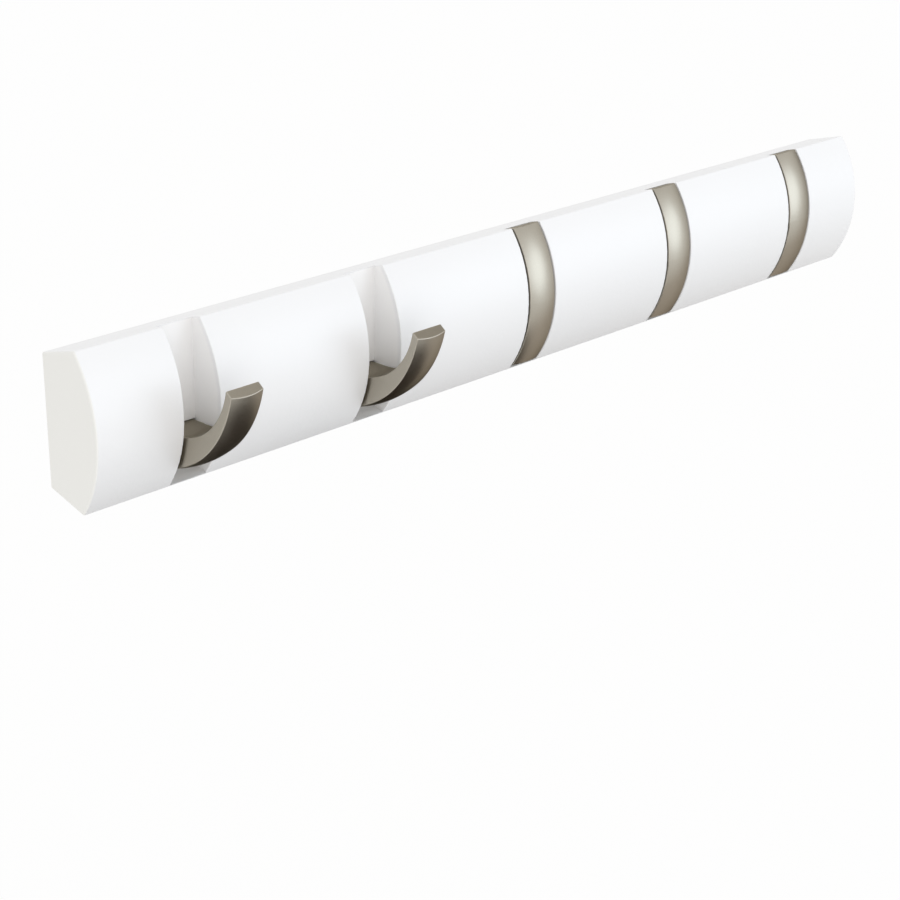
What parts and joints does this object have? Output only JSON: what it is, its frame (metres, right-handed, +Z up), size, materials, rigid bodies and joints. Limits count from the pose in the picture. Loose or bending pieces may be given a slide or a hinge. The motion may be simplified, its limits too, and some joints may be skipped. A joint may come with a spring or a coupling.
{
  "type": "folding wall hook rail",
  "caption": "White lacquered wooden wall rail with a bowed front and upright slots, whose satin nickel hooks rock on pins to stand out for coats or fold flush with the front.",
  "frame": {"origin": "middle of the rail's flat back, on the wall", "axes": "+X along the rail, +Y into the wall, +Z up; the front faces -Y"},
  "size_m": [0.508, 0.062, 0.0686],
  "materials": {
    "white_lacquer": "smooth satin white lacquer on wood",
    "satin_nickel": "satin nickel plate on a zinc casting",
    "pin_steel": "plain turned steel",
    "bush_plastic": "natural nylon"
  },
  "bodies": {
    "rail": {"bar": "white_lacquer", "pivot_pin_1": "pin_steel", "pivot_plungers_1": "pin_steel", "pivot_spring_1": "pin_steel", "pivot_bushes_1": "bush_plastic", "pivot_pin_2": "pin_steel", "pivot_plungers_2": "pin_steel", "pivot_spring_2": "pin_steel", "pivot_bushes_2": "bush_plastic", "pivot_pin_3": "pin_steel", "pivot_plungers_3": "pin_steel", "pivot_spring_3": "pin_steel", "pivot_bushes_3": "bush_plastic", "pivot_pin_4": "pin_steel", "pivot_plungers_4": "pin_steel", "pivot_spring_4": "pin_steel", "pivot_bushes_4": "bush_plastic", "pivot_pin_5": "pin_steel", "pivot_plungers_5": "pin_steel", "pivot_spring_5": "pin_steel", "pivot_bushes_5": "bush_plastic"},
    "hook_1": {"hook_1": "satin_nickel"},
    "hook_2": {"hook_2": "satin_nickel"},
    "hook_3": {"hook_3": "satin_nickel"},
    "hook_4": {"hook_4": "satin_nickel"},
    "hook_5": {"hook_5": "satin_nickel"}
  },
  "joints": [
    {"name": "hook_1_fold", "type": "hinge", "parent": "rail", "child": "hook_1", "pos_m": [-0.202, -0.0204, -0.0174], "axis": [1, 0, 0], "range_deg": [-51, 0]},
    {"name": "hook_2_fold", "type": "hinge", "parent": "rail", "child": "hook_2", "pos_m": [-0.101, -0.0204, -0.0174], "axis": [1, 0, 0], "range_deg": [-51, 0]},
    {"name": "hook_3_fold", "type": "hinge", "parent": "rail", "child": "hook_3", "pos_m": [0, -0.0204, -0.0174], "axis": [1, 0, 0], "range_deg": [0, 51]},
    {"name": "hook_4_fold", "type": "hinge", "parent": "rail", "child": "hook_4", "pos_m": [0.101, -0.0204, -0.0174], "axis": [1, 0, 0], "range_deg": [0, 51]},
    {"name": "hook_5_fold", "type": "hinge", "parent": "rail", "child": "hook_5", "pos_m": [0.202, -0.0204, -0.0174], "axis": [1, 0, 0], "range_deg": [0, 51]}
  ]
}
